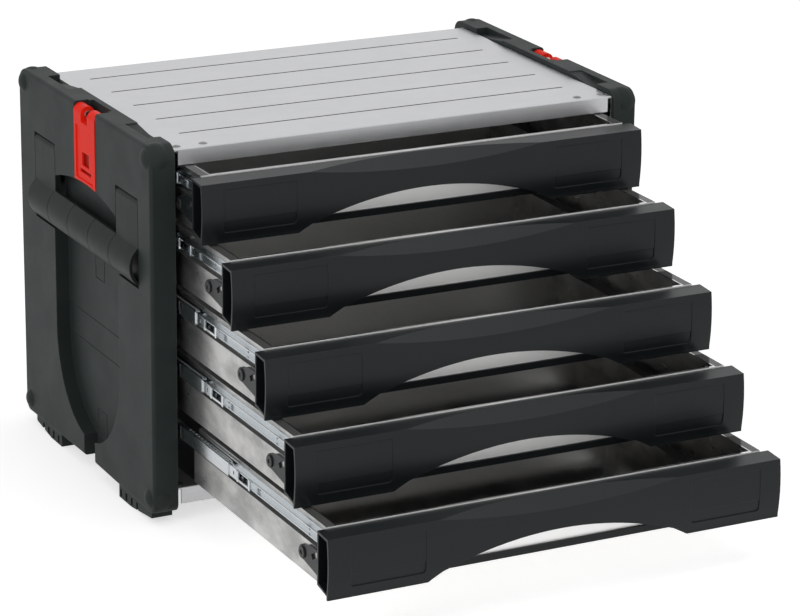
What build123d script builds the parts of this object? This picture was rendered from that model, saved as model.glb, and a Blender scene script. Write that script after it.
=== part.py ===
from build123d import *
import math
import os

# Portable tool box with five drawers on ball slides, between two moulded side covers.
# Millimetres. X runs across the box, -Y is the front, +Z is up.
# The drawers stand open by different amounts, as a row of stairs, the lowest one furthest.
# The casing is drawn about its own middle. Each finished piece is then moved back, so that
# the origin lies on the floor under the middle of the whole opened box.

# ---- casing ------------------------------------------------------------------------------
case_width = 462.0              # over the outer faces of the covers
case_depth = 300.0              # over the front and rear edges of the covers
cover_thickness = 22.5
cover_height = 324.0            # from the lower edge to the top face
foot_height = 10.0
cover_top_corner_radius = 12.0
cover_low_corner_radius = 9.0
cover_edge_radius = 3.0
cover_low_edge_rise = 2.5       # the lower edge rises a little towards its middle
cover_wall = 3.5

bumper_radius = 13.0
bumper_inset = 11.0             # from the front or rear edge to the ball's centre
bumper_sink = 9.5               # from the outer face to the ball's centre

# ---- hand recess in the outer face of each cover -----------------------------------------
grip_middle_y = -5.0            # the middle of the handle and of the recess
recess_half_width = 73.0
recess_depth = 13.0
recess_arch_top = 266.0         # above the floor
recess_arch_spring = 254.0
recess_bowl_middle = 115.0      # the height at which the sides start to draw in
recess_bowl_depth = 84.0
drain_notch_width = 25.0
floor_line_heights = (136.5, 110.0)
floor_line_width = 1.2
floor_line_depth = 0.6
floor_frame_width = 21.0
floor_frame_height = 25.0
floor_frame_bottoms = (31.0, 177.0)

# ---- handle ------------------------------------------------------------------------------
handle_length = 234.0
arm_width = 47.0
arm_thickness = 5.0
arm_top = 282.5
barrel_radius = 5.0
handle_pin_radius = 2.0
running_clearance = 0.05        # between a pin and the bore that turns on it
pin_hold = 5.0                  # how far a pin reaches into the cover on each side
grip_top = 240.5
grip_bottom = 207.5
grip_bulge = 8.0
grip_wall = 3.0
grip_back = 3.0                 # how far the grip's legs reach into the cover
grip_section_count = 5
grip_groove_width = 1.2
grip_groove_depth = 0.8
pocket_clearance = 1.1          # round the folded handle
finger_gap = 2.4                # under the folded grip

# ---- latch -------------------------------------------------------------------------------
latch_width = 47.0
latch_middle_y = -7.0
latch_bottom = 266.5            # at the middle of its arched lower edge
latch_arch = 1.2
latch_thickness = 5.5
latch_proud = 0.6               # how far it stands out of the cover
latch_pin_height = 326.0
latch_pin_sink = 6.0            # from the cover's outer face to the pin
latch_knuckle_radius = 6.6
latch_knuckle_length = 16.5
latch_pin_radius = 3.0
latch_pin_bore = 1.7
latch_pin_stub = 1.2            # how far a pin stands out into the gap between the knuckles
latch_rim = 4.0
latch_panel_depth = 1.0
latch_window_width = 15.5
latch_window_height = 12.0
latch_window_bottom = 281.0
latch_bar_width = 24.0
latch_bar_height = 3.2
latch_bar_bottom = 274.5
latch_mark_depth = 2.2
latch_side_gap = 0.6
latch_back_gap = 0.8
stack_slot_width = 41.5
stack_slot_reach = 3.8          # how much deeper the slot is than the knuckles
stack_slot_floor = 312.0

# ---- ramps on top of the covers, feet below ----------------------------------------------
ramp_rear_start = 56.0
ramp_rear_end = 106.0
ramp_front_start = -71.0
ramp_front_end = -119.0
ramp_width = 11.5
ramp_shallow = 0.9
ramp_deep = 7.0
foot_rear_end = 127.0
foot_rear_step = 66.0
foot_front_end = -141.0
foot_front_step = -69.0
foot_shallow = 4.6              # the drop at the outer end of a foot
foot_flat = 26.0                # the level length at the inner end, which stands on the floor
foot_outer_inset = 1.5
foot_inner_inset = 2.0
foot_notch_count = 4
foot_notch_width = 4.0
foot_notch_depth = 2.0
foot_notch_pitch = 12.0

# ---- sheet metal of the casing -----------------------------------------------------------
frame_sheet = 1.0
plate_sheet = 1.2
frame_front_setback = 4.0       # from the covers' front edge
plate_front_setback = 3.6
plate_rear_setback = 18.5
plate_below_cover_top = 4.6
plate_lip = 13.8
plate_side_gap = 0.8            # to the inner face of the cover
plate_lip_end_gap = 4.3
plate_bend_radius = 1.0
bottom_plate_top = 31.4
bottom_plate_lip = 14.8
bead_count = 5
bead_first_y = -101.3
bead_pitch = 49.5
bead_length = 368.0
bead_width = 2.4
bead_depth = 0.7
frame_flange = 14.0
frame_tab_reach = 38.0          # the front end of a flange is wider, to take the rivets
frame_tab_length = 24.0
sheet_gap = 0.1                 # between sheets that lie on each other

rivet_xs = (178.0, 202.0)
rivet_front_setback = 12.5      # from the covers' front edge
rivet_head_radius = 3.8
rivet_head_height = 1.2
rivet_shank_radius = 1.6
rivet_tail_radius = 3.0
rivet_tail_height = 1.0
back_rivet_heights = (60.0, 180.0, 300.0)
hole_clearance = 0.05

cover_screw_ys = (-118.0, 118.0)
cover_screw_low = 38.6
cover_screw_high = 320.2
cover_screw_head_radius = 3.2
cover_screw_head_height = 1.3
cover_screw_radius = 1.8
cover_screw_length = 14.0
screw_boss_radius = 5.0

rib_thickness = 3.0
rib_cell = 40.0

# ---- drawers -----------------------------------------------------------------------------
drawer_count = 5
drawer_pitch = 55.4
first_face_top = 313.6          # above the floor
drawer_openings = (49.5, 108.5, 172.5, 227.5, 288.0)
front_side_gap = 0.5            # to the side frames

face_height = 52.3
front_depth = 19.0
front_wall = 2.0
face_bulge = 2.0
front_top_slope = 1.2
front_back_height = 45.5
front_skirt = 3.0               # how far the face hangs below the bottom wall
arch_half_width = 119.0
arch_shoulder_half_width = 106.0
arch_shoulder_height = 7.3      # above the face's lower edge
arch_rise = 26.3                # at the middle, above the face's lower edge
scoop_half_width = 118.0
scoop_drop = 8.5
scoop_back_land = 2.0           # what is left of the top wall behind the scoop
window_half_width = 100.0
window_top_drop = 22.0
window_bottom_drop = 45.6
apron_drop = 51.6               # how low the back wall reaches behind the arch
label_inner_x = 121.5
label_width = 66.0
label_top_drop = 7.0
label_height = 36.5
label_depth = 0.5
label_corner_radius = 3.0
label_band_height = 10.0
label_band_depth = 1.0
lug_thickness = 1.8
lug_top_drop = 18.6
lug_bottom_drop = 40.0
lug_screw_back = 30.0           # behind the front's back wall
lug_screw_drop = 29.0
lug_boss_radius = 6.2
lug_step = 0.5                  # the boss stands out of the gusset by this much
lug_slot_drop = 24.1
lug_slot_tilt = 30.0
lug_slot_width = 4.6
lug_slot_length = 13.0
front_screw_head_radius = 5.2
front_screw_head_height = 1.4
front_screw_radius = 2.0
front_screw_length = 5.0

# ---- trays -------------------------------------------------------------------------------
tray_sheet = 1.0
tray_length = 246.0
tray_low_half_width = 203.5
tray_high_half_width = 199.0
tray_rim_half_opening = 190.0
tray_height = 46.0
tray_rim_rise = 1.2             # above the top of the front
tray_ledge_drop = 17.6
tray_front_hem = 2.4
tray_rear_hem = 6.0

# ---- slides, measured from the top of a drawer's face ------------------------------------
slide_middle_drop = 8.9
slide_sheet = 0.8
outer_height = 16.0
outer_reach = 6.8
outer_gap = 1.0                 # behind a closed front
outer_rear_setback = 24.0
carriage_height = 11.4
carriage_gap = 0.8              # behind the outer member's web
carriage_reach = 5.0
carriage_length = 190.0
carriage_front_when_closed = (74.0, 81.0, 65.0, 83.0, 65.0)
carriage_ratio = 0.56           # how far a middle member moves for each unit of its drawer's travel
carriage_end_sheet = 1.0
inner_web_height = 13.0
inner_race_height = 7.6
inner_reach = 5.0
inner_front_gap = 1.0           # behind the front's back wall
inner_length = 249.0
inner_rivet_ys = (27.0, 120.0, 225.0)
inner_rivet_radius = 1.5
inner_rivet_head_radius = 2.6
inner_rivet_head_height = 1.2
inner_rivet_head_round = 1.0
cage_sheet = 0.5
cage_gap = 0.2
cage_front_reach = 20.0
cage_tail_reach = 43.0
cage_height = 9.4
cage_tab_width = 3.0
cage_tab_depth = 0.8
cage_rail_height = 2.0
cage_strip_width = 3.0
cage_window_width = 2.0
cage_window_height = 3.0
ball_radius = 0.7
ball_clearance = 0.1
ball_pitch = 6.0
ball_count = 14
ball_first = 3.0

# ---- values worked out from the above ----------------------------------------------------
outer_x = -case_width / 2
inner_x = outer_x + cover_thickness
front_y = -case_depth / 2
rear_y = case_depth / 2
cover_low = foot_height
cover_top = foot_height + cover_height
recess_floor_x = outer_x + recess_depth
frame_inner_x = inner_x + frame_sheet
plate_top = cover_top - plate_below_cover_top
frame_low = bottom_plate_top - plate_sheet - sheet_gap - frame_sheet
frame_high = plate_top - plate_sheet - sheet_gap
frame_front = front_y + frame_front_setback
plate_front = front_y + plate_front_setback
plate_rear = rear_y - plate_rear_setback
front_half_width = -frame_inner_x - front_side_gap
back_wall_y = front_y + front_depth
handle_pivot_x = outer_x + barrel_radius
handle_pivot_z = arm_top - barrel_radius
latch_pivot_x = outer_x + latch_pin_sink
bumper_overhang = bumper_radius - bumper_inset
origin_shift = (max(drawer_openings) + face_bulge - bumper_overhang) / 2


def block(x0, x1, y0, y1, z0, z1):
    """A box between two corners."""
    size = (abs(x1 - x0), abs(y1 - y0), abs(z1 - z0))
    return Pos((x0 + x1) / 2, (y0 + y1) / 2, (z0 + z1) / 2) * Box(*size)


def rod_x(x0, x1, y, z, radius):
    """A round bar along X."""
    return Pos((x0 + x1) / 2, y, z) * Rot(0, 90, 0) * Cylinder(radius, abs(x1 - x0))


def rod_y(y0, y1, x, z, radius):
    """A round bar along Y."""
    return Pos(x, (y0 + y1) / 2, z) * Rot(90, 0, 0) * Cylinder(radius, abs(y1 - y0))


def prism_x(lines, x0, x1):
    """Extrudes an outline of (y, z) points along X."""
    face = make_face(Plane.YZ.offset(min(x0, x1)) * lines)
    return extrude(face, abs(x1 - x0), dir=(1, 0, 0))


def prism_y(lines, y0, y1):
    """Extrudes an outline drawn in (x, z) along Y."""
    plane = Plane(origin=(0, min(y0, y1), 0), x_dir=(1, 0, 0), z_dir=(0, -1, 0))
    face = make_face(plane * lines)
    return extrude(face, abs(y1 - y0), dir=(0, 1, 0))


def mirrored(shape):
    """The same piece for the right-hand side."""
    return mirror(shape, about=Plane.YZ)


def both_sides(shape):
    """A left-hand piece with its right-hand twin."""
    return [shape, mirrored(shape)]


def write(name, *pieces):
    """Writes one node's solids to its file."""
    solids = []
    for piece in pieces:
        solids.extend(Compound(piece).solids() if isinstance(piece, list) else piece.solids())
    shape = solids[0] if len(solids) == 1 else Compound(solids)
    export_step(Pos(0, origin_shift, 0) * shape, f"parts/{name}.step")


# ---- side covers -------------------------------------------------------------------------
def cover_outline():
    """The side view of a cover, with its corners rounded."""
    corners = [
        (front_y, cover_low),
        (grip_middle_y, cover_low + cover_low_edge_rise),
        (rear_y, cover_low),
        (rear_y, cover_top),
        (front_y, cover_top),
    ]
    face = make_face(Polyline(*corners, close=True))
    high = [v for v in face.vertices() if v.Y > cover_top - 1]
    low = [v for v in face.vertices() if v.Y < cover_low + 1]
    face = fillet(high, cover_top_corner_radius)
    low = [v for v in face.vertices() if v.Y < cover_low + 1]
    return fillet(low, cover_low_corner_radius)


def cover_shell():
    """The solid form of the left cover, with a soft outer edge."""
    body = extrude(Plane.YZ.offset(outer_x) * cover_outline(), cover_thickness, dir=(1, 0, 0))
    outer_face = body.faces().sort_by(Axis.X)[0]
    return fillet(outer_face.edges(), cover_edge_radius)


def bumpers():
    """Ball-shaped bumpers at the four corners of the left cover."""
    x = outer_x + bumper_sink
    places = []
    for y in (front_y + bumper_inset, rear_y - bumper_inset):
        places.append((x, y, cover_top - bumper_inset - 1))
        places.append((x, y, cover_low + bumper_inset + 2))
    return [Pos(*place) * Sphere(bumper_radius) for place in places]


def feet():
    """Two wedge-shaped feet with notched outer sides, deepest towards the middle."""
    wedge_low = cover_low - foot_shallow
    root = cover_low + cover_low_edge_rise + 2
    x0 = outer_x + foot_outer_inset
    x1 = inner_x - foot_inner_inset
    pieces = []
    for step, end in ((foot_rear_step, foot_rear_end), (foot_front_step, foot_front_end)):
        away = 1 if end > step else -1
        outline = Polyline(
            (step, root), (step, 0), (step + away * foot_flat, 0), (end, wedge_low), (end, root), close=True
        )
        foot = prism_x(outline, x0, x1)
        for i in range(foot_notch_count):
            y = step + away * (foot_notch_pitch / 2 + i * foot_notch_pitch)
            notch = block(x0 - 1, x0 + foot_notch_depth, y, y + foot_notch_width, 1.5, cover_low - 1.5)
            foot = foot - notch
        pieces.append(foot)
    return pieces


def recess_outline(grow=0.0):
    """The hand recess: an arch above, straight sides and a bowl below."""
    half = recess_half_width + grow
    left = (grip_middle_y - half, recess_arch_spring)
    crown = (grip_middle_y, recess_arch_top + grow)
    right = (grip_middle_y + half, recess_arch_spring)
    arch = ThreePointArc(left, crown, right)
    bowl = EllipticalCenterArc(
        (grip_middle_y, recess_bowl_middle), half, recess_bowl_depth + grow, start_angle=180, arc_size=180
    )
    side_a = Line(left, (left[0], recess_bowl_middle))
    side_b = Line((right[0], recess_bowl_middle), right)
    return arch + side_a + bowl + side_b


def hand_recess():
    """The recess with the notch that opens it at the bottom."""
    hollow = prism_x(recess_outline(), outer_x - 1, recess_floor_x)
    notch_top = recess_bowl_middle - recess_bowl_depth + drain_notch_width / 2
    half = drain_notch_width / 2
    notch = block(
        outer_x - 1, recess_floor_x, grip_middle_y - half, grip_middle_y + half, cover_low - 1, notch_top
    )
    return hollow + notch


def handle_pocket():
    """Room for the folded handle: one pocket for each arm and one for the grip."""
    half = handle_length / 2 + pocket_clearance
    arm_inner = handle_length / 2 - arm_width - pocket_clearance
    top = arm_top + pocket_clearance
    depth = outer_x + 2 * barrel_radius + pocket_clearance
    low = grip_bottom - finger_gap
    pocket = block(
        outer_x - 1, outer_x + arm_thickness + pocket_clearance,
        grip_middle_y - half, grip_middle_y + half, low, grip_top + pocket_clearance
    )
    for side in (-1, 1):
        y0 = grip_middle_y + side * arm_inner
        y1 = grip_middle_y + side * half
        pocket = pocket + block(outer_x - 1, depth, y0, y1, low, top)
    return pocket


def latch_slot():
    """Room for the latch in the outer face, for its knuckles and for a hook behind them."""
    half = latch_width / 2 + latch_side_gap
    knuckle_back = latch_pivot_x + latch_knuckle_radius + latch_back_gap
    knuckle_low = latch_pin_height - latch_knuckle_radius - latch_back_gap
    plate_back = outer_x - latch_proud + latch_thickness + latch_back_gap
    y0 = latch_middle_y - half
    y1 = latch_middle_y + half
    slot = block(outer_x - 1, plate_back, y0, y1, recess_arch_spring, cover_top + 1)
    slot = slot + block(outer_x - 1, knuckle_back, y0, y1, knuckle_low, cover_top + 1)
    hook_half = stack_slot_width / 2
    hook = block(
        knuckle_back - 1, knuckle_back + stack_slot_reach,
        latch_middle_y - hook_half, latch_middle_y + hook_half, stack_slot_floor, cover_top + 1
    )
    return slot + hook


def ramps():
    """Two ramps on top of the cover, open towards the plate."""
    x0 = inner_x - ramp_width
    pieces = []
    for start, end in ((ramp_rear_start, ramp_rear_end), (ramp_front_start, ramp_front_end)):
        outline = Polyline(
            (start, cover_top + 1), (start, cover_top - ramp_shallow),
            (end, cover_top - ramp_deep), (end, cover_top + 1), close=True
        )
        pieces.append(prism_x(outline, x0, inner_x + 1))
    return pieces


def rib_cells():
    """Open cells in the inner side of the cover, shallower where the recesses are."""
    step = rib_cell + rib_thickness
    y_count = int((case_depth - 2 * cover_wall) // step)
    z_count = int((cover_height - 2 * screw_boss_radius) // step)
    y_first = -(y_count * step - rib_thickness) / 2
    z_first = (cover_low + cover_top - z_count * step + rib_thickness) / 2
    deep = outer_x + cover_wall + cover_edge_radius
    shallow = recess_floor_x + cover_wall
    cells = []
    for i in range(y_count):
        for j in range(z_count):
            y = y_first + i * step
            z = z_first + j * step
            near_grip = abs(y + rib_cell / 2 - grip_middle_y) < recess_half_width + rib_cell / 2 + cover_wall
            near_handle = z + rib_cell > grip_bottom - cover_wall
            reach = shallow if near_grip or near_handle else deep
            cells.append(block(reach, inner_x + 1, y, y + rib_cell, z, z + rib_cell))
    return cells


def cover_screw_places():
    return [(y, z) for y in cover_screw_ys for z in (cover_screw_low, cover_screw_high)]


def make_cover():
    """The left cover."""
    body = cover_shell()
    for piece in bumpers() + feet():
        body = body + piece
    for cell in rib_cells():
        body = body - cell
    for y, z in cover_screw_places():
        body = body + rod_x(outer_x + cover_wall, inner_x, y, z, screw_boss_radius)
    body = body - hand_recess() - handle_pocket() - latch_slot()
    for ramp in ramps():
        body = body - ramp
    pin_half = handle_length / 2 + pin_hold
    pin_inner = handle_length / 2 - arm_width - pin_hold
    for side in (-1, 1):
        y0 = grip_middle_y + side * pin_inner
        y1 = grip_middle_y + side * pin_half
        body = body - rod_y(y0, y1, handle_pivot_x, handle_pivot_z, handle_pin_radius)
        y2 = latch_middle_y + side * latch_width / 2
        y3 = latch_middle_y + side * (latch_width / 2 + pin_hold)
        body = body - rod_y(y2, y3, latch_pivot_x, latch_pin_height, latch_pin_radius)
    screw_hole = cover_screw_radius + hole_clearance
    for y, z in cover_screw_places():
        body = body - rod_x(inner_x - cover_screw_length, inner_x + 1, y, z, screw_hole)
    return add_floor_details(body)


def add_floor_details(body):
    """Two engraved lines and two engraved frames on the floor of the hand recess."""
    reach = recess_floor_x + floor_line_depth
    y0 = grip_middle_y - recess_half_width
    y1 = grip_middle_y + recess_half_width
    half_line = floor_line_width / 2
    for z in floor_line_heights:
        body = body - block(recess_floor_x - 1, reach, y0, y1, z - half_line, z + half_line)
    half = floor_frame_width / 2
    inner = half - floor_line_width
    for z in floor_frame_bottoms:
        top = z + floor_frame_height
        frame = block(recess_floor_x - 1, reach, grip_middle_y - half, grip_middle_y + half, z, top)
        frame = frame - block(
            recess_floor_x - 2, reach + 1, grip_middle_y - inner, grip_middle_y + inner,
            z + floor_line_width, top - floor_line_width
        )
        body = body - frame
    return body


# ---- handle ------------------------------------------------------------------------------
def grip_profile(inset, back):
    """The half-round section of the grip, in (x, z)."""
    middle = (grip_top + grip_bottom) / 2
    high = (outer_x, grip_top - inset)
    low = (outer_x, grip_bottom + inset)
    crown = (outer_x - grip_bulge + inset, middle)
    arc = ThreePointArc(high, crown, low)
    legs = Polyline(low, (outer_x + back, low[1]), (outer_x + back, high[1]), high)
    return arc + legs


def make_handle():
    """The left handle: arms with barrels at the top, and the hollow grip."""
    half = handle_length / 2
    y0 = grip_middle_y - half
    y1 = grip_middle_y + half
    grip = prism_y(grip_profile(0, grip_back), y0, y1)
    grip = grip - prism_y(grip_profile(grip_wall, grip_back + 1), y0 - 1, y1 + 1)
    section = handle_length / grip_section_count
    rim = prism_y(grip_profile(0, grip_back), y0, y1)
    rim = rim - prism_y(grip_profile(grip_groove_depth, grip_back + 1), y0, y1)
    for i in range(1, grip_section_count):
        y = y0 + i * section
        groove = block(
            outer_x - grip_bulge - 1, outer_x, y - grip_groove_width / 2, y + grip_groove_width / 2,
            grip_bottom, grip_top
        )
        grip = grip - (rim & groove)
    handle = grip
    for side in (-1, 1):
        a = grip_middle_y + side * (half - arm_width)
        b = grip_middle_y + side * half
        arm = block(outer_x, outer_x + arm_thickness, a, b, grip_top - grip_wall, handle_pivot_z)
        handle = handle + arm + rod_y(a, b, handle_pivot_x, handle_pivot_z, barrel_radius)
        handle = handle - rod_y(a, b, handle_pivot_x, handle_pivot_z, handle_pin_radius + running_clearance)
    return handle


def make_handle_pins():
    """The pins of the left handle."""
    pins = []
    for side in (-1, 1):
        a = grip_middle_y + side * (handle_length / 2 - arm_width - pin_hold)
        b = grip_middle_y + side * (handle_length / 2 + pin_hold)
        pins.append(rod_y(a, b, handle_pivot_x, handle_pivot_z, handle_pin_radius))
    return pins


# ---- latch -------------------------------------------------------------------------------
def make_latch():
    """The left latch: a flap with a sunk panel, two marks and two knuckles."""
    face_x = outer_x - latch_proud
    back_x = face_x + latch_thickness
    half = latch_width / 2
    y0 = latch_middle_y - half
    y1 = latch_middle_y + half
    low_corner = latch_bottom - latch_arch
    lower_edge = ThreePointArc((y0, low_corner), (latch_middle_y, latch_bottom), (y1, low_corner))
    sides = Polyline((y1, low_corner), (y1, latch_pin_height), (y0, latch_pin_height), (y0, low_corner))
    latch = prism_x(lower_edge + sides, face_x, back_x)
    panel_top = latch_pin_height - latch_knuckle_radius - latch_rim
    panel = block(
        face_x - 1, face_x + latch_panel_depth, y0 + latch_rim, y1 - latch_rim,
        latch_bottom + latch_rim / 2, panel_top
    )
    latch = latch - panel
    gap_half = half - latch_knuckle_length
    gap = block(
        face_x - 1, back_x + 1, latch_middle_y - gap_half, latch_middle_y + gap_half,
        panel_top + latch_rim, latch_pin_height + 1
    )
    latch = latch - gap
    for side in (-1, 1):
        a = latch_middle_y + side * gap_half
        b = latch_middle_y + side * half
        latch = latch + rod_y(a, b, latch_pivot_x, latch_pin_height, latch_knuckle_radius)
        latch = latch - rod_y(a, b, latch_pivot_x, latch_pin_height, latch_pin_radius + running_clearance)
    mark_x = face_x + latch_panel_depth + latch_mark_depth
    window = block(
        face_x - 1, mark_x, latch_middle_y - latch_window_width / 2, latch_middle_y + latch_window_width / 2,
        latch_window_bottom, latch_window_bottom + latch_window_height
    )
    bar = block(
        face_x - 1, mark_x, latch_middle_y - latch_bar_width / 2, latch_middle_y + latch_bar_width / 2,
        latch_bar_bottom, latch_bar_bottom + latch_bar_height
    )
    return latch - window - bar


def make_latch_pins():
    """The two hollow pins of the left latch."""
    pins = []
    for side in (-1, 1):
        a = latch_middle_y + side * (latch_width / 2 - latch_knuckle_length - latch_pin_stub)
        b = latch_middle_y + side * (latch_width / 2 + pin_hold)
        pin = rod_y(a, b, latch_pivot_x, latch_pin_height, latch_pin_radius)
        pins.append(pin - rod_y(a, b, latch_pivot_x, latch_pin_height, latch_pin_bore))
    return pins


# ---- sheet metal of the casing -----------------------------------------------------------
def rivet(x, y, z, depth):
    """A dome rivet whose head sits on the plane z, with its tail below the sheets."""
    dome_radius = (rivet_head_radius ** 2 + rivet_head_height ** 2) / (2 * rivet_head_height)
    dome = Pos(x, y, z + rivet_head_height - dome_radius) * Sphere(dome_radius)
    reach = rivet_head_radius
    head = dome & block(x - reach, x + reach, y - reach, y + reach, z, z + rivet_head_height)
    shank = Pos(x, y, z - depth / 2) * Cylinder(rivet_shank_radius, depth)
    tail = Pos(x, y, z - depth - rivet_tail_height / 2) * Cylinder(rivet_tail_radius, rivet_tail_height)
    return head + shank + tail


def plate_rivet_places():
    y = front_y + rivet_front_setback
    return [(side * x, y) for side in (-1, 1) for x in rivet_xs]


def back_rivet_places():
    x = -frame_inner_x - frame_flange / 2
    return [(side * x, z) for side in (-1, 1) for z in back_rivet_heights]


def folded_sheet(z, lip, half, depth_y0, depth_y1):
    """A level sheet with a lip down at the front and a flange down at the rear."""
    lip_half = -inner_x - plate_lip_end_gap
    sheet = block(-half, half, depth_y0, depth_y1, z - plate_sheet, z)
    sheet = sheet + block(-lip_half, lip_half, depth_y0, depth_y0 + plate_sheet, z - lip, z)
    sheet = sheet + block(-lip_half, lip_half, depth_y1 - plate_sheet, depth_y1, z - lip, z)
    bend = [e for e in sheet.edges().filter_by(Axis.X) if abs(e.center().Z - z) < 0.01]
    return fillet(bend, plate_bend_radius)


def rivet_holes(sheet, z0, z1):
    """Holes through a level sheet for the rivets at its front corners."""
    for x, y in plate_rivet_places():
        hole = Pos(x, y, (z0 + z1) / 2) * Cylinder(rivet_shank_radius + hole_clearance, z1 - z0)
        sheet = sheet - hole
    return sheet


def make_top_plate():
    """The top plate with its long beads."""
    plate = folded_sheet(plate_top, plate_lip, -inner_x - plate_side_gap, plate_front, plate_rear)
    straight = bead_length - bead_width
    for i in range(bead_count):
        y = bead_first_y + i * bead_pitch
        bead = block(-straight / 2, straight / 2, y - bead_width / 2, y + bead_width / 2,
                     plate_top - bead_depth, plate_top + 1)
        for end in (-1, 1):
            bead = bead + Pos(end * straight / 2, y, plate_top + 0.5 - bead_depth / 2) * Cylinder(
                bead_width / 2, 1 + bead_depth)
        plate = plate - bead
    return rivet_holes(plate, plate_top - 2 * plate_sheet, plate_top + 1)


def make_bottom_plate():
    half = -frame_inner_x - sheet_gap
    plate = folded_sheet(bottom_plate_top, bottom_plate_lip, half, plate_front, plate_rear)
    return rivet_holes(plate, bottom_plate_top - 2 * plate_sheet, bottom_plate_top + 1)


def make_back_panel():
    half = -inner_x - plate_side_gap
    y1 = plate_rear - plate_sheet - sheet_gap
    panel = block(-half, half, y1 - frame_sheet, y1, bottom_plate_top + sheet_gap, frame_high - sheet_gap)
    for x, z in back_rivet_places():
        panel = panel - rod_y(y1 - 2 * frame_sheet, y1 + 1, x, z, rivet_shank_radius + hole_clearance)
    return panel


def make_side_frame():
    """The left side frame: a wall with flanges under the plates and in front of the back panel."""
    rear = plate_rear - plate_sheet - 2 * sheet_gap - frame_sheet
    front = plate_front + plate_sheet + sheet_gap
    flange_x = inner_x + frame_flange
    tab_x = inner_x + frame_tab_reach
    frame = block(inner_x, frame_inner_x, frame_front, rear, frame_low, frame_high)
    for z in (frame_low, frame_high - frame_sheet):
        frame = frame + block(inner_x, flange_x, front, rear, z, z + frame_sheet)
        frame = frame + block(inner_x, tab_x, front, front + frame_tab_length, z, z + frame_sheet)
    rear_flange = block(
        inner_x, inner_x + frame_flange, rear - frame_sheet, rear,
        bottom_plate_top + sheet_gap, frame_high
    )
    frame = rivet_holes(frame + rear_flange, frame_low - 1, frame_high + 1)
    for x, z in back_rivet_places():
        frame = frame - rod_y(rear - 2 * frame_sheet, rear + 1, x, z, rivet_shank_radius + hole_clearance)
    for y, z in cover_screw_places():
        frame = frame - rod_x(inner_x - 1, frame_inner_x + 1, y, z, cover_screw_radius + hole_clearance)
    return frame


def make_plate_rivets():
    """Rivets in the top plate, the bottom plate and the back panel."""
    depth = plate_sheet + sheet_gap + frame_sheet
    pieces = []
    for x, y in plate_rivet_places():
        pieces.append(rivet(x, y, plate_top, depth))
        pieces.append(rivet(x, y, bottom_plate_top, depth))
    back_face = plate_rear - plate_sheet - sheet_gap
    for x, z in back_rivet_places():
        upright = rivet(0, 0, 0, 2 * frame_sheet + sheet_gap)
        pieces.append(Pos(x, back_face, z) * Rot(-90, 0, 0) * upright)
    return pieces


def make_cover_screws():
    """Screws through the left side frame into the cover."""
    pieces = []
    for y, z in cover_screw_places():
        head = rod_x(frame_inner_x, frame_inner_x + cover_screw_head_height, y, z, cover_screw_head_radius)
        shank = rod_x(inner_x - cover_screw_length + 1, frame_inner_x, y, z, cover_screw_radius)
        pieces.append(head + shank)
    return pieces


# ---- drawer fronts, made closed, with the top of the face at height 0 --------------------
def front_section(inset):
    """The hollow section of a front in (y, z); inset moves every wall inwards."""
    y_face = front_y + inset
    y_back = back_wall_y - inset
    top_front = -front_top_slope - inset
    low_front = -face_height + front_skirt + inset
    low_back = -front_back_height + inset
    middle = (top_front + low_front) / 2
    face = ThreePointArc((y_face, top_front), (y_face - face_bulge, middle), (y_face, low_front))
    rest = Polyline((y_face, low_front), (y_back, low_back), (y_back, -inset), (y_face, top_front))
    return face + rest


def front_skirt_block():
    """The edge of the face that hangs below the bottom wall."""
    return block(
        -front_half_width, front_half_width, front_y, front_y + front_wall,
        -face_height, -face_height + front_skirt + front_wall
    )


def scoop(extra=0.0):
    """A wide, flat cylinder that takes the scoop out of the top edge."""
    run = front_depth - scoop_back_land
    slant = math.hypot(run, scoop_drop)
    sink = run * scoop_drop / slant
    radius = (scoop_half_width ** 2 + sink ** 2) / (2 * sink)
    tilt = math.degrees(math.atan2(scoop_drop, run))
    middle_y = front_y + run / 2
    middle_z = -scoop_drop / 2
    up_y = -math.sin(math.radians(tilt))
    up_z = math.cos(math.radians(tilt))
    centre = (0, middle_y + up_y * radius, middle_z + up_z * radius)
    return Pos(*centre) * Rot(90 + tilt, 0, 0) * Cylinder(radius + extra, 4 * front_depth)


def finger_arch():
    """The opening under the face, through every wall of the front."""
    low = -face_height
    shoulder = low + arch_shoulder_height
    crown = low + arch_rise
    half = arch_shoulder_half_width
    below = low - front_wall
    arc = ThreePointArc((-half, shoulder), (0, crown), (half, shoulder))
    rest = Polyline(
        (half, shoulder), (arch_half_width, low), (arch_half_width, below),
        (-arch_half_width, below), (-arch_half_width, low), (-half, shoulder)
    )
    return prism_y(arc + rest, front_y - face_bulge - 3, back_wall_y + 1)


def label_cut(skin, height, depth):
    """A shallow field in the face: what a flat block takes from the skin of the face."""
    low = -label_top_drop - label_height
    cut = None
    for side in (-1, 1):
        a = side * label_inner_x
        b = side * (label_inner_x + label_width)
        field = block(a, b, front_y - face_bulge - 3, front_y + 3, low, low + height)
        corners = [e for e in field.edges().filter_by(Axis.Y) if e.center().Z < low + 1]
        field = fillet(corners, label_corner_radius)
        cut = field if cut is None else cut + field
    return cut - Pos(0, depth, 0) * skin


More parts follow.
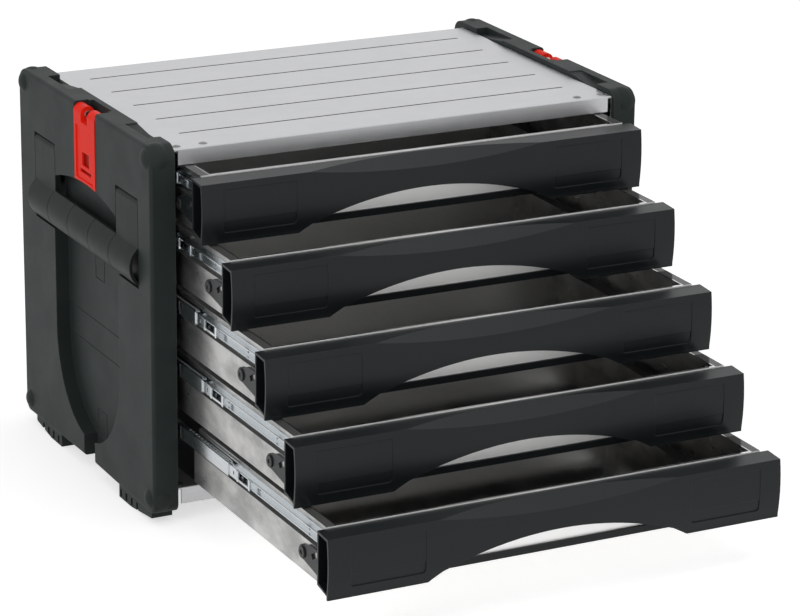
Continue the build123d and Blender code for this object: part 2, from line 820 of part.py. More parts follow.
def lug():
    """The left lug: a thin gusset along the tray's side with a screw boss and a slot."""
    x1 = -tray_low_half_width
    x0 = x1 - lug_thickness
    y0 = back_wall_y - front_wall
    y_screw = back_wall_y + lug_screw_back
    outline = Polyline(
        (y0, -lug_top_drop),
        (y_screw - 2 * lug_boss_radius, -lug_top_drop),
        (y_screw, -lug_screw_drop + lug_boss_radius - lug_step),
        (y_screw, -lug_screw_drop - lug_boss_radius + lug_step),
        (back_wall_y, -lug_bottom_drop),
        (y0, -lug_bottom_drop),
        close=True,
    )
    plate = prism_x(outline, x0, x1) + rod_x(x0, x1, y_screw, -lug_screw_drop, lug_boss_radius)
    slot_place = Pos(x0 + lug_thickness / 2, back_wall_y + 1 + lug_slot_length / 2, -lug_slot_drop)
    slot = slot_place * Rot(-lug_slot_tilt, 0, 0) * Box(2 * lug_thickness, lug_slot_length, lug_slot_width)
    hole = rod_x(x0 - 1, x1 + 1, y_screw, -lug_screw_drop, front_screw_radius + hole_clearance)
    return plate - slot - hole


def make_front():
    """One drawer front."""
    solid = prism_x(front_section(0), -front_half_width, front_half_width) + front_skirt_block()
    skin = solid
    past_end = front_half_width + 1
    hollow = prism_x(front_section(front_wall), -past_end, past_end) - scoop(front_wall)
    apron = block(
        -arch_half_width, arch_half_width, back_wall_y - front_wall, back_wall_y,
        -apron_drop, -window_top_drop
    )
    solid = solid - scoop() - hollow - finger_arch() + apron
    solid = solid - block(
        -window_half_width, window_half_width, back_wall_y - front_wall - 1, back_wall_y + 1,
        -window_bottom_drop, -window_top_drop
    )
    solid = solid - label_cut(skin, label_height, label_depth)
    solid = solid - label_cut(skin, label_band_height, label_band_depth)
    left_lug = lug()
    return solid + left_lug + mirrored(left_lug)


def make_front_screws():
    """The two black screws that hold the lugs to the tray."""
    y = back_wall_y + lug_screw_back
    x = -tray_low_half_width - lug_thickness
    head = rod_x(x - front_screw_head_height, x, y, -lug_screw_drop, front_screw_head_radius)
    rim = head.edges().filter_by(GeomType.CIRCLE).sort_by(Axis.X)[0]
    head = fillet(rim, front_screw_head_height / 2)
    socket = rod_x(x - front_screw_head_height - 1, x - front_screw_head_height / 2, y, -lug_screw_drop,
                   front_screw_radius)
    shank = rod_x(x, x + front_screw_length, y, -lug_screw_drop, front_screw_radius)
    return both_sides(head - socket + shank)


# ---- trays -------------------------------------------------------------------------------
def make_tray():
    """A sheet-metal tray: wide below, narrower above a ledge, with a rim turned inwards.

    It is welded from five sheets: a floor, two sides that turn round the corners, a front and a rear.
    """
    y0 = back_wall_y
    y1 = y0 + tray_length
    low = tray_low_half_width
    high = tray_high_half_width
    t = tray_sheet
    body = block(-low, low, y0, y1, -tray_height, -tray_ledge_drop)
    body = body + block(-high, high, y0, y1, -tray_height, tray_rim_rise)
    body = body - block(-low + t, low - t, y0 + t, y1 - t, -tray_height + t, -tray_ledge_drop - t)
    body = body - block(-high + t, high - t, y0 + t, y1 - t, -tray_ledge_drop - 2 * t, tray_rim_rise - t)
    opening = tray_rim_half_opening
    body = body - block(
        -opening, opening, y0 + tray_front_hem, y1 - tray_rear_hem, -tray_ledge_drop, tray_rim_rise + 1
    )
    for side in (-1, 1):
        screw_y = y0 + lug_screw_back
        body = body - rod_x(side * (low - 2 * t), side * (low + 1), screw_y, -lug_screw_drop,
                            front_screw_radius + hole_clearance)
        for y in inner_rivet_ys:
            body = body - rod_x(side * (high - 2 * t), side * (high + 1), y0 + y, -slide_middle_drop,
                                inner_rivet_radius + hole_clearance)
    floor = block(-low, low, y0, y1, -tray_height, -tray_height + t)
    between_rims = block(-opening, opening, y0 - 1, y1 + 1, -tray_height - 1, tray_rim_rise + 1)
    walls = body - floor
    return [floor, *(walls - between_rims).solids(), *(walls & between_rims).solids()]


# ---- slides ------------------------------------------------------------------------------
def channel(x_web, x_tip, y0, y1, height, sheet):
    """A C-shaped member with its web at x_web and its flanges reaching to x_tip."""
    half = height / 2
    middle = -slide_middle_drop
    toward = 1 if x_tip > x_web else -1
    gap = half - sheet
    whole = block(x_web, x_tip, y0, y1, middle - half, middle + half)
    hollow = block(x_web + toward * sheet, x_tip + toward, y0 - 1, y1 + 1, middle - gap, middle + gap)
    return whole - hollow


def make_slide_outer():
    """The left outer member, on the side frame."""
    y0 = back_wall_y + outer_gap
    y1 = rear_y - outer_rear_setback
    return channel(frame_inner_x, frame_inner_x + outer_reach, y0, y1, outer_height, slide_sheet)


def carriage_x():
    return frame_inner_x + slide_sheet + carriage_gap


def make_slide_middle(front):
    """The left middle member, with a stop plate at its front end."""
    x = carriage_x()
    y0 = front_y + front
    body = channel(x, x + carriage_reach, y0, y0 + carriage_length, carriage_height, slide_sheet)
    low = -slide_middle_drop - carriage_height / 2
    high = -slide_middle_drop + carriage_height / 2
    stop = block(x, x + slide_sheet + cage_gap, y0 - carriage_end_sheet, y0, low, high)
    return body + stop


def make_slide_inner():
    """The left inner member: a flat web on the tray with two races."""
    x1 = -tray_high_half_width
    x0 = x1 - slide_sheet
    y0 = back_wall_y + inner_front_gap
    y1 = y0 + inner_length
    middle = -slide_middle_drop
    web = block(x0, x1, y0, y1, middle - inner_web_height / 2, middle + inner_web_height / 2)
    races = channel(x0, x0 - inner_reach + slide_sheet, y0, y1, inner_race_height, slide_sheet)
    body = web + races
    for y in inner_rivet_ys:
        body = body - rod_x(x0 - 1, x1 + 1, back_wall_y + y, middle, inner_rivet_radius + hole_clearance)
    return body


def make_slide_rivets():
    """Rivets through the tray's left wall and the inner member, with their heads inside the tray."""
    pieces = []
    x_in = -tray_high_half_width + tray_sheet
    x_out = -tray_high_half_width - slide_sheet
    for y in inner_rivet_ys:
        place = back_wall_y + y
        x_head = x_in + inner_rivet_head_height
        head = rod_x(x_in, x_head, place, -slide_middle_drop, inner_rivet_head_radius)
        rim = head.edges().filter_by(GeomType.CIRCLE).sort_by(Axis.X)[-1]
        head = fillet(rim, inner_rivet_head_round)
        pieces.append(head + rod_x(x_out, x_in, place, -slide_middle_drop, inner_rivet_radius))
    return pieces


def make_ball_cage(front):
    """The left ball cage: strips above and below the middle member, a front plate and two tabs."""
    middle = -slide_middle_drop
    x_plate = carriage_x() + slide_sheet + cage_gap
    y_end = front_y + front
    low = middle - cage_height / 2
    high = middle + cage_height / 2
    x_back = x_plate + cage_sheet
    plate = block(x_plate, x_back, y_end - cage_front_reach, y_end + cage_front_reach, low, high)
    rail = block(x_plate, x_back, y_end - cage_tail_reach, y_end, low, low + cage_rail_height)
    body = plate + rail
    for reach in (cage_front_reach, cage_tail_reach):
        y = y_end - reach
        body = body + block(x_plate - cage_tab_depth, x_back, y, y + cage_tab_width, low, high)
    y_window = y_end - cage_front_reach / 2
    half_wide = cage_window_width / 2
    half_high = cage_window_height / 2
    window = block(
        x_plate - 1, x_plate + 1, y_window - half_wide, y_window + half_wide,
        middle - half_high, middle + half_high
    )
    pieces = [body - window]
    groove = (outer_height / 2 - slide_sheet + carriage_height / 2) / 2
    x_ball = carriage_x() + carriage_reach / 2 + slide_sheet / 2
    for side in (-1, 1):
        z = middle + side * groove
        y0 = y_end + ball_first - ball_pitch / 2
        y1 = y0 + ball_count * ball_pitch
        x0 = x_ball - cage_strip_width / 2
        x1 = x_ball + cage_strip_width / 2
        strip = block(x0, x1, y0, y1, z - cage_sheet / 2, z + cage_sheet / 2)
        for i in range(ball_count):
            place = Pos(x_ball, y_end + ball_first + i * ball_pitch, z)
            strip = strip - place * Cylinder(ball_radius + ball_clearance, 2 * cage_sheet)
            pieces.append(place * Sphere(ball_radius))
        pieces.append(strip)
    return pieces


# ---- all nodes ---------------------------------------------------------------------------
def write_casing():
    cover = make_cover()
    write("left_cover", cover)
    write("right_cover", mirrored(cover))
    handle = make_handle()
    write("left_handle", handle)
    write("right_handle", mirrored(handle))
    pins = make_handle_pins()
    write("handle_pins", pins + [mirrored(pin) for pin in pins])
    latch = make_latch()
    write("left_latch", latch)
    write("right_latch", mirrored(latch))
    latch_pins = make_latch_pins()
    write("latch_pins", latch_pins + [mirrored(pin) for pin in latch_pins])
    write("top_plate", make_top_plate())
    write("bottom_plate", make_bottom_plate())
    write("back_panel", make_back_panel())
    side_frame = make_side_frame()
    write("left_side_frame", side_frame)
    write("right_side_frame", mirrored(side_frame))
    write("plate_rivets", make_plate_rivets())
    screws = make_cover_screws()
    write("cover_screws", screws + [mirrored(screw) for screw in screws])


def write_drawers():
    front = make_front()
    front_screws = make_front_screws()
    tray = make_tray()
    outer = make_slide_outer()
    inner = make_slide_inner()
    rivets = make_slide_rivets()
    for i in range(drawer_count):
        number = i + 1
        opening = drawer_openings[i]
        level = first_face_top - i * drawer_pitch
        fixed = Pos(0, 0, level)
        drawn = Pos(0, -opening, level)
        carried = Pos(0, -opening * carriage_ratio, level)
        middle = make_slide_middle(carriage_front_when_closed[i])
        cage = make_ball_cage(carriage_front_when_closed[i])
        write(f"front_{number}", drawn * front)
        write(f"front_screws_{number}", [drawn * piece for piece in front_screws])
        write(f"tray_{number}", [drawn * sheet for sheet in tray])
        write(f"slide_outer_{number}", [fixed * piece for piece in both_sides(outer)])
        write(f"slide_inner_{number}", [drawn * piece for piece in both_sides(inner)])
        write(f"slide_rivets_{number}", [drawn * p for piece in rivets for p in both_sides(piece)])
        write(f"slide_middle_{number}", [carried * piece for piece in both_sides(middle)])
        write(f"ball_cage_{number}", [carried * p for piece in cage for p in both_sides(piece)])


os.makedirs("parts", exist_ok=True)
write_casing()
write_drawers()
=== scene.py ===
# %% [markdown]
# # A tool box with five drawers, dressed for a photograph
#
# The solids of this box come from the CAD model, so every piece already has its true
# size and place. This lesson adds what the solids do not have: the finish of each
# material, small details on the surfaces, light, a floor and a camera.
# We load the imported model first. Its pieces are never moved, because the same
# places are used when the drawers slide and the handles swing.

# %% Load the model
import math

import bmesh
import bpy
from mathutils import Matrix, Vector


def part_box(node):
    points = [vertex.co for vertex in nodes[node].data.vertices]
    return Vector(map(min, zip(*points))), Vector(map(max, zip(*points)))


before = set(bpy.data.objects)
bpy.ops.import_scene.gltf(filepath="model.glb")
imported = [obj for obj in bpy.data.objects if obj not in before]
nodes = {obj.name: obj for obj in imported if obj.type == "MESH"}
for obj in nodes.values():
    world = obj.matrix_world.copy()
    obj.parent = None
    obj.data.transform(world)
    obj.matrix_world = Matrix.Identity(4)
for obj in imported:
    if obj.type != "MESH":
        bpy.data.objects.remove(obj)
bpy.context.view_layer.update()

print("pieces in the model:", len(nodes))

# %% [markdown]
# ## The camera
#
# The photograph was taken from the left, a little above the box, with a long lens.
# A camera could be aimed by eye, but then every later comparison would drift.
# Here its place, its turn and its lens were worked out once, by matching corners of the
# model with the same corners in the photograph, and they are written as plain numbers.
# The three unit vectors below are the camera's right, up and backward directions.

# %% Place the camera
camera_azimuth = math.radians(-27.083)
camera_elevation = math.radians(18.302)
camera_roll = math.radians(0.648)
camera_place = Vector((-1.2811, -2.5125, 1.0955))
camera_lens = 154.76

back = Vector((
    math.sin(camera_azimuth) * math.cos(camera_elevation),
    -math.cos(camera_azimuth) * math.cos(camera_elevation),
    math.sin(camera_elevation),
))
level_right = Vector((math.cos(camera_azimuth), math.sin(camera_azimuth), 0.0))
level_up = back.cross(level_right)
right = level_right * math.cos(camera_roll) + level_up * math.sin(camera_roll)
up = level_up * math.cos(camera_roll) - level_right * math.sin(camera_roll)

camera_data = bpy.data.cameras.new("photo_camera")
camera_data.sensor_width = 36.0
camera_data.sensor_fit = "HORIZONTAL"
camera_data.lens = camera_lens
camera_data.clip_start = 0.1
camera_data.clip_end = 60.0
camera = bpy.data.objects.new("photo_camera", camera_data)
bpy.context.scene.collection.objects.link(camera)
camera_turn = Matrix((right, up, back)).transposed().to_4x4()
camera.matrix_world = Matrix.Translation(camera_place) @ camera_turn
bpy.context.scene.camera = camera
bpy.context.scene.view_settings.view_transform = "Standard"
print("camera lens in mm:", camera_lens)

# %% [markdown]
# ## Writing shader maths as sums
#
# A procedural material is a small graph of nodes. Placing each node by hand in code
# hides what the material does, so we wrap a socket in a class that knows +, - and *.
# An expression such as `1 - mask * 0.4` then adds the Math nodes by itself.
# Colours and vectors need their own nodes, because a Math node would turn a colour grey.
# Every other kind of node comes from one method, `Shade.make`.

# %% A socket that takes part in sums
class Shade:
    """One output socket of a node tree, for use in Python expressions."""

    def __init__(self, tree, socket):
        self.tree = tree
        self.socket = socket

    @classmethod
    def make(cls, tree, kind, settings=None, inputs=None, output=0):
        """Adds a node: first its settings, then the values or links of its sockets."""
        node = tree.nodes.new(kind)
        for name, value in (settings or {}).items():
            if name == "stops":
                ramp = node.color_ramp.elements
                while len(ramp) < len(value):
                    ramp.new(0.5)
                for stop, (place, level) in zip(ramp, value):
                    stop.position = place
                    stop.color = (level, level, level, 1.0)
            else:
                setattr(node, name, value)
        for name, value in (inputs or {}).items():
            cls.feed(tree, node.inputs[name], value)
        return cls(tree, node.outputs[output])

    @staticmethod
    def feed(tree, socket, value):
        """Links a Shade to a socket, or sets a plain value on it."""
        if isinstance(value, Shade):
            tree.links.new(value.socket, socket)
        elif socket.type == "RGBA":
            colour = value if hasattr(value, "__len__") else (value, value, value)
            socket.default_value = (*colour, 1.0)
        elif socket.type == "VECTOR" and not hasattr(value, "__len__"):
            socket.default_value = (value, value, value)
        else:
            socket.default_value = value

    def combine(self, operation, a, b):
        kinds = {x.socket.type for x in (a, b) if isinstance(x, Shade)}
        if "RGBA" in kinds:
            settings = {"data_type": "RGBA", "blend_type": operation}
            return self.make(self.tree, "ShaderNodeMix", settings, {0: 1.0, 6: a, 7: b}, 2)
        if "VECTOR" in kinds:
            settings = {"operation": operation}
            return self.make(self.tree, "ShaderNodeVectorMath", settings, {0: a, 1: b})
        return self.make(self.tree, "ShaderNodeMath", {"operation": operation}, {0: a, 1: b})

    def __add__(self, other):
        return self.combine("ADD", self, other)

    __radd__ = __add__

    def __mul__(self, other):
        return self.combine("MULTIPLY", self, other)

    __rmul__ = __mul__

    def __sub__(self, other):
        return self.combine("SUBTRACT", self, other)

    def __rsub__(self, other):
        return self.combine("SUBTRACT", other, self)

    def ramp(self, *stops):
        """Maps a value through (place, level) stops."""
        return self.make(self.tree, "ShaderNodeValToRGB", {"stops": stops}, {"Fac": self}).grey()

    def grey(self):
        """Reads a colour as one number."""
        return self.make(self.tree, "ShaderNodeRGBToBW", None, {"Color": self})

    def between(self, low, high):
        """A colour between two colours: low where this mask is 0 and high where it is 1."""
        settings = {"data_type": "RGBA", "blend_type": "MIX"}
        return self.make(self.tree, "ShaderNodeMix", settings, {0: self, 6: low, 7: high}, 2)


print("operators ready:", [name for name in ("+", "-", "*")])

# %% [markdown]
# ## Patterns that several finishes share
#
# Three patterns do most of the work. A noise gives cloudy changes; stretched along one
# axis it becomes the streaks that rolling leaves in sheet steel. An edge mask finds the
# corners of a solid by comparing the true normal with one that is smoothed over a small
# radius, which is where real pieces catch the light and wear first. Object coordinates
# are in metres here, so a pattern keeps its real size on every piece.

# %% Noise, streaks and edges
def place_on(tree):
    """The point on the piece, in metres."""
    return Shade.make(tree, "ShaderNodeTexCoord", None, None, 3)


def noise(tree, size, stretch=(1.0, 1.0, 1.0), detail=3.0, rough=0.5):
    """Cloudy noise whose features are about size metres across, longer where stretch is larger."""
    scaled = place_on(tree) * tuple(1.0 / (size * s) for s in stretch)
    inputs = {"Vector": scaled, "Scale": 1.0, "Detail": detail, "Roughness": rough}
    return Shade.make(tree, "ShaderNodeTexNoise", None, inputs)


def coordinate(tree, axis):
    """One coordinate of the point on the piece, in metres: 0 for X, 1 for Y and 2 for Z."""
    return Shade.make(tree, "ShaderNodeSeparateXYZ", None, {"Vector": place_on(tree)}, axis)


def test(tree, operation, *values):
    """A Math node that has no operator of its own, such as LESS_THAN or ABSOLUTE."""
    return Shade.make(tree, "ShaderNodeMath", {"operation": operation}, dict(enumerate(values)))


def dot(tree, a, b):
    """The cosine of the angle between two unit vectors."""
    return Shade.make(tree, "ShaderNodeVectorMath", {"operation": "DOT_PRODUCT"}, {0: a, 1: b}, 1)


def half_width(tree):
    """How far the point is from the middle of the box, to the left or to the right."""
    return test(tree, "ABSOLUTE", coordinate(tree, 0))


def edge_mask(tree, radius):
    """1 on sharp edges, 0 on flat areas."""
    soft = Shade.make(tree, "ShaderNodeBevel", {"samples": 4}, {"Radius": radius})
    true = Shade.make(tree, "ShaderNodeNewGeometry", None, None, 1)
    same = dot(tree, soft, true)
    return (1.0 - same).ramp((0.0, 0.0), (0.12, 1.0))


def rounded(tree, radius):
    """A normal that rounds off the sharp edges of a solid."""
    return Shade.make(tree, "ShaderNodeBevel", {"samples": 4}, {"Radius": radius})


def bump(tree, height, distance, strength=1.0, normal=None):
    """Raises and lowers the surface by height times distance."""
    inputs = {"Height": height, "Distance": distance, "Strength": strength}
    if normal is not None:
        inputs["Normal"] = normal
    return Shade.make(tree, "ShaderNodeBump", None, inputs)


def new_finish(name, **sockets):
    """A material with one Principled shader; sockets are set or linked by name."""
    material = bpy.data.materials.new(name)
    material.use_nodes = True
    tree = material.node_tree
    shader = tree.nodes["Principled BSDF"]
    for key, value in sockets.items():
        made = value(tree) if callable(value) else value
        Shade.feed(tree, shader.inputs[key.replace("_", " ")], made)
    return material


def dress(finish, *names):
    """Gives a finish to pieces of the model, by name."""
    for name in names:
        piece = nodes[name]
        piece.data.materials.clear()
        piece.data.materials.append(finish)
    print(finish.name, "on", len(names), "pieces")


# %% [markdown]
# ## Moulded plastic of the side covers and handles
#
# The covers are thick injection mouldings with a fine spark-eroded texture. It scatters
# light, so the dark grey looks soft, and it is polished a little lighter on the edges.
# We use a very small noise for the texture, a large weak one for uneven colour, and the
# edge mask to lighten the corners.

# %% Finish of the covers
cover_dark = (0.022, 0.028, 0.0265)
cover_light = (0.031, 0.038, 0.0365)
cover_worn = (0.085, 0.094, 0.093)


def cover_colour(tree):
    clouds = noise(tree, 0.045, detail=4.0).ramp((0.3, 0.0), (0.7, 1.0))
    base = clouds.between(cover_dark, cover_light)
    scuffs = noise(tree, 0.006, detail=5.0, rough=0.65).ramp((0.35, 0.3), (0.7, 1.0))
    return (edge_mask(tree, 0.0011) * scuffs * 0.75).between(base, cover_worn)


def cover_roughness(tree):
    return noise(tree, 0.02, detail=4.0) * 0.16 + 0.42


def cover_surface(tree):
    return bump(tree, noise(tree, 0.00055, detail=2.0), 0.00012, 0.55, rounded(tree, 0.0009))


cover_finish = new_finish("cover_plastic", Base_Color=cover_colour, Roughness=cover_roughness,
                          Normal=cover_surface, Specular_IOR_Level=0.11)
dress(cover_finish, "left_cover", "right_cover")

handle_finish = new_finish(
    "handle_plastic",
    Base_Color=lambda t: (edge_mask(t, 0.0008) * 0.6).between(
        noise(t, 0.03).between((0.014, 0.017, 0.0168), (0.020, 0.0235, 0.023)), cover_worn),
    Roughness=lambda t: noise(t, 0.015, detail=4.0) * 0.18 + 0.33,
    Normal=lambda t: bump(t, noise(t, 0.0007, detail=2.0), 0.0001, 0.4, rounded(t, 0.0007)),
    Specular_IOR_Level=0.08)
dress(handle_finish, "left_handle", "right_handle")

# %% [markdown]
# ## Black plastic of the drawer fronts
#
# The fronts are smoother than the covers and almost black. Their sheen shows soft
# streaks, because the mould was polished along its length. The noise is therefore
# stretched along the width of the front, for the roughness and for the faint change
# of colour.

# %% Finish of the drawer fronts
front_finish = new_finish(
    "front_plastic",
    Base_Color=lambda t: (edge_mask(t, 0.0008) * 0.3).between(
        noise(t, 0.05, (4.0, 1.0, 1.0)).between((0.0062, 0.0082, 0.0092), (0.0100, 0.0128, 0.0142)),
        (0.032, 0.037, 0.040)),
    Roughness=lambda t: noise(t, 0.02, (5.0, 1.0, 1.0), detail=4.0) * 0.2 + 0.22,
    Normal=lambda t: bump(t, noise(t, 0.0006, detail=2.0), 0.00005, 0.35, rounded(t, 0.0007)),
    Specular_IOR_Level=0.27)
dress(front_finish, *[f"front_{n}" for n in range(1, 6)])

# %% [markdown]
# ## Red plastic of the latches
#
# The latches are pigmented right through, so their colour is strong, and little of it is
# lost to the reflection of the white studio. A faint flow pattern keeps the red from
# looking painted. The floors of the two recessed marks get painted shade, and we pick them out by
# their depth.

# %% Finish of the latches
latch_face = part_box("right_latch")[1][0]
mark_floor = latch_face - 0.0032
marks_top = 0.2935


def latch_colour(tree):
    """Red, with shade painted on the floors of the two marks, which lie deepest in the latch."""
    flow = noise(tree, 0.02, detail=3.0).between((0.88, 0.018, 0.007), (0.96, 0.027, 0.011))
    plain = (edge_mask(tree, 0.0007) * 0.4).between(flow, (0.95, 0.08, 0.05))
    deep = test(tree, "COMPARE", half_width(tree), mark_floor, 0.0003)
    low = test(tree, "LESS_THAN", coordinate(tree, 2), marks_top)
    return (deep * low * 0.9).between(plain, (0.30, 0.003, 0.002))


latch_finish = new_finish(
    "latch_plastic",
    Base_Color=latch_colour,
    Roughness=lambda t: noise(t, 0.01, detail=4.0) * 0.15 + 0.24,
    Normal=lambda t: bump(t, noise(t, 0.003, detail=2.0), 0.00005, 0.4, rounded(t, 0.0006)),
    Specular_IOR_Level=0.04)
dress(latch_finish, "left_latch", "right_latch")

# %% [markdown]
# ## Sheet steel
#
# All the sheet pieces are zinc-plated steel. The top plate is matt and even; the trays
# and slides are bright, and show rolling streaks along their length. A metal has no
# colour of its own beneath its reflections, so its look comes mostly from the roughness.
# One function makes the whole family. Two of the finishes need more: shade is painted into
# the pressed beads of the top plate, and a tray has painted reflections that differ from wall
# to wall. Both are found from the place of a point and the way its surface faces, which holds from
# every side.

# %% Finishes of the sheet pieces
def facing(tree, axis):
    """1 where the surface faces along an axis, 0 where it faces away."""
    true = Shade.make(tree, "ShaderNodeNewGeometry", None, None, 1)
    return dot(tree, true, axis).ramp((0.7, 0.0), (0.9, 1.0))


def steel(name, dark, light, roughness, spread, streak, shade=None, matt=None, bare=1.0):
    """A plated steel with streaks that run along the long axis of streak."""
    def colour(tree):
        streaks = noise(tree, 0.0016, streak, detail=5.0, rough=0.6)
        clouds = noise(tree, 0.05, detail=3.0)
        plain = (streaks * 0.6 + clouds * 0.4).ramp((0.3, 0.0), (0.7, 1.0)).between(dark, light)
        return shade(tree, plain) if shade else plain

    def sheen(tree):
        streaks = noise(tree, 0.0012, streak, detail=5.0, rough=0.65)
        spots = noise(tree, 0.012, detail=4.0)
        plain = (streaks + spots - 1.0) * spread + roughness
        return plain + matt(tree) if matt else plain

    def surface(tree):
        grain = noise(tree, 0.0009, streak, detail=4.0)
        return bump(tree, grain, 0.00003, 0.3, rounded(tree, 0.0004))

    return new_finish(name, Base_Color=colour, Metallic=bare, Roughness=sheen, Normal=surface,
                      Specular_IOR_Level=0.1)


bead_half_length = 0.1875
bead_margin = 0.012
bead_depth_shown = 0.00015


def shade_in_beads(tree, plain):
    """Paints shade into the bottoms of the pressed beads."""
    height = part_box("top_plate")[1][2]
    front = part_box("top_plate")[0][1] + bead_margin
    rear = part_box("top_plate")[1][1] - bead_margin
    low = test(tree, "LESS_THAN", coordinate(tree, 2), height - bead_depth_shown)
    inner = test(tree, "LESS_THAN", half_width(tree), bead_half_length)
    behind = test(tree, "GREATER_THAN", coordinate(tree, 1), front)
    before = test(tree, "LESS_THAN", coordinate(tree, 1), rear)
    return (low * inner * behind * before * 0.93).between(plain, (0.10, 0.10, 0.105))


rim_inner_edge = 0.1911


# The tops of the trays' side rims carry a painted dark reflection, and are made mostly non-metallic
# under it.
def rim_mask(tree):
    """1 on the top of the trays' side rims, except for a bright line along the inner edge."""
    outer = test(tree, "GREATER_THAN", half_width(tree), rim_inner_edge)
    return outer * facing(tree, (0.0, 0.0, 1.0))


def tray_sides(tree):
    """1 on the walls that face left or right."""
    return facing(tree, (-1.0, 0.0, 0.0)) + facing(tree, (1.0, 0.0, 0.0))


def tray_front(tree):
    """1 on the walls that face the front."""
    return facing(tree, (0.0, -1.0, 0.0))


def tray_colour(tree, plain):
    """Paints a dark reflection on side rims and, in clouds, on side walls; a bright one on front
    walls.
    """
    clouds = noise(tree, 0.035, (1.0, 1.0, 0.5), detail=4.0).ramp((0.35, 0.0), (0.65, 1.0))
    side_dark_reflection = clouds.between((0.34, 0.34, 0.335), (0.60, 0.595, 0.585))
    walls = tray_front(tree).between(tray_sides(tree).between(plain, side_dark_reflection), (0.93, 0.93, 0.92))
    return (rim_mask(tree) * 0.9).between(walls, (0.03, 0.03, 0.029))


def tray_roughness(tree):
    """Front walls are the roughest, the sides less so, and the floor is almost a mirror."""
    return tray_front(tree) * 0.4 + tray_sides(tree) * 0.17


# The top plate gets shade painted into the bottoms of its pressed beads.
plate_finish = steel("plate_steel", (0.53, 0.535, 0.545), (0.58, 0.585, 0.595),
                     0.40, 0.10, (60.0, 1.0, 1.0), shade=shade_in_beads)
frame_finish = steel("frame_steel", (0.50, 0.505, 0.51), (0.66, 0.665, 0.67),
                     0.25, 0.12, (1.0, 30.0, 1.0))
# The trays carry painted reflections: dark on the side rims and side walls, bright on the front
# walls.
tray_finish = steel("tray_steel", (0.70, 0.695, 0.68), (0.82, 0.815, 0.80),
                    0.115, 0.06, (1.0, 25.0, 1.0), shade=tray_colour, matt=tray_roughness,
                    bare=lambda tree: 1.0 - rim_mask(tree) * 0.9)
slide_finish = steel("slide_steel", (0.60, 0.63, 0.65), (0.70, 0.73, 0.75),
                     0.17, 0.05, (1.0, 14.0, 1.0))
pin_finish = steel("pin_steel", (0.62, 0.61, 0.59), (0.80, 0.79, 0.77),
                   0.28, 0.1, (1.0, 20.0, 1.0))
rivet_finish = steel("rivet_steel", (0.16, 0.16, 0.16), (0.30, 0.30, 0.30),
                     0.30, 0.12, (1.0, 1.0, 1.0))

dress(plate_finish, "top_plate", "bottom_plate", "back_panel")
dress(frame_finish, "left_side_frame", "right_side_frame")
dress(tray_finish, *[f"tray_{n}" for n in range(1, 6)])
for kind in ("slide_outer", "slide_middle", "slide_inner", "ball_cage"):
    dress(slide_finish, *[f"{kind}_{n}" for n in range(1, 6)])
dress(pin_finish, "handle_pins", "latch_pins")
dress(rivet_finish, "plate_rivets", "cover_screws", *[f"slide_rivets_{n}" for n in range(1, 6)])

# %% [markdown]
# ## Black screws
#
# The screws in the lugs of the fronts are blackened steel. A full metal of that colour
# would look like a dark mirror, so it is made partly as metal and partly as a dull coating.

# %% Finish of the screws
screw_finish = new_finish(
    "black_screw",
    Base_Color=lambda t: (edge_mask(t, 0.0004) * 0.5).between(
        noise(t, 0.004).between((0.012, 0.012, 0.013), (0.022, 0.022, 0.024)), (0.16, 0.16, 0.16)),
    Metallic=0.4,
    Roughness=lambda t: noise(t, 0.002, detail=4.0) * 0.2 + 0.3,
    Normal=lambda t: bump(t, noise(t, 0.0008), 0.00005, 0.4, rounded(t, 0.0004)))
dress(screw_finish, *[f"front_screws_{n}" for n in range(1, 6)])

# %% [markdown]
# ## Floor, world and lamps
#
# The box stands in a white studio. The floor is a large pale plane that keeps the box's
# shadow. What the camera and mirror-like metal see of the surroundings is white, and the
# light that falls on the box comes from a dimmer world and three broad, soft lamps. The
# lamps are not mirrored in the metal, because they would show as bright patches there.

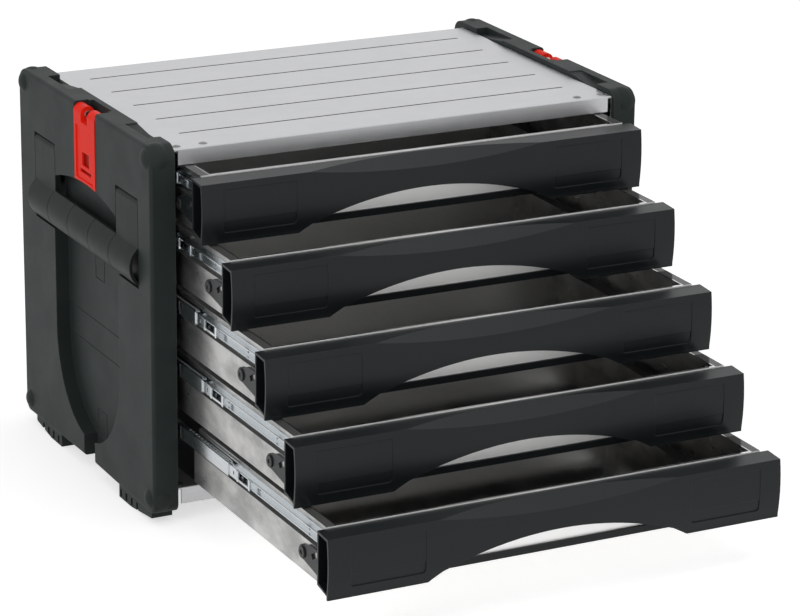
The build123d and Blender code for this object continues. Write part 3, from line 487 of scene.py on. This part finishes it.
# %% The floor
floor_mesh = bmesh.new()
bmesh.ops.create_grid(floor_mesh, x_segments=8, y_segments=8, size=12.0)
floor_data = bpy.data.meshes.new("floor")
floor_mesh.to_mesh(floor_data)
floor_mesh.free()
floor = bpy.data.objects.new("floor", floor_data)
bpy.context.scene.collection.objects.link(floor)
floor_finish = bpy.data.materials.new("pale_floor")
floor_finish.use_nodes = True
floor_tree = floor_finish.node_tree
floor_shader = floor_tree.nodes["Principled BSDF"]
floor_shader.inputs["Roughness"].default_value = 0.9
floor_shader.inputs["Specular IOR Level"].default_value = 0.0
floor_shader.inputs["Base Color"].default_value = (0.86, 0.86, 0.86, 1.0)
seen = Shade.make(floor_tree, "ShaderNodeLightPath", None, None, 0)
mirrored = Shade.make(floor_tree, "ShaderNodeLightPath", None, None, "Is Glossy Ray")
floor_shader.inputs["Emission Strength"].default_value = 1.0
Shade.feed(floor_tree, floor_shader.inputs["Emission Color"], seen * 0.58 + mirrored * 0.45)
floor_data.materials.append(floor_finish)
print("floor width in m:", round(floor.dimensions.x, 1))

# %% The world and the lamps
world = bpy.data.worlds.new("studio")
bpy.context.scene.world = world
world.use_nodes = True
sky = world.node_tree
background = sky.nodes["Background"]
camera_ray = Shade.make(sky, "ShaderNodeLightPath", None, None, 0)
glossy_ray = Shade.make(sky, "ShaderNodeLightPath", None, None, "Is Glossy Ray")
clear_ray = Shade.make(sky, "ShaderNodeLightPath", None, None, "Is Transmission Ray")
white = camera_ray + glossy_ray + clear_ray
level = test(sky, "MINIMUM", white * 0.55 + 0.45, 1.0)
Shade.feed(sky, background.inputs["Strength"], level)
background.inputs["Color"].default_value = (1.0, 1.0, 1.0, 1.0)


def lamp(name, place, target, width, height, power):
    """A soft rectangular lamp at place that shines towards target."""
    data = bpy.data.lights.new(name, "AREA")
    data.shape = "RECTANGLE"
    data.size = width
    data.size_y = height
    data.energy = power
    made = bpy.data.objects.new(name, data)
    bpy.context.scene.collection.objects.link(made)
    aim = Vector(target) - Vector(place)
    turn = aim.to_track_quat("-Z", "Y").to_matrix().to_4x4()
    made.matrix_world = Matrix.Translation(place) @ turn
    made.visible_glossy = False


lamp("top_lamp", (0.3, -0.6, 2.4), (0.0, 0.0, 0.2), 1.8, 1.4, 10.0)
lamp("left_lamp", (-2.4, -0.9, 1.2), (0.0, 0.0, 0.2), 1.2, 1.6, 15.0)
lamp("front_lamp", (0.6, -3.2, 1.5), (0.0, -0.2, 0.1), 2.2, 1.2, 5.0)
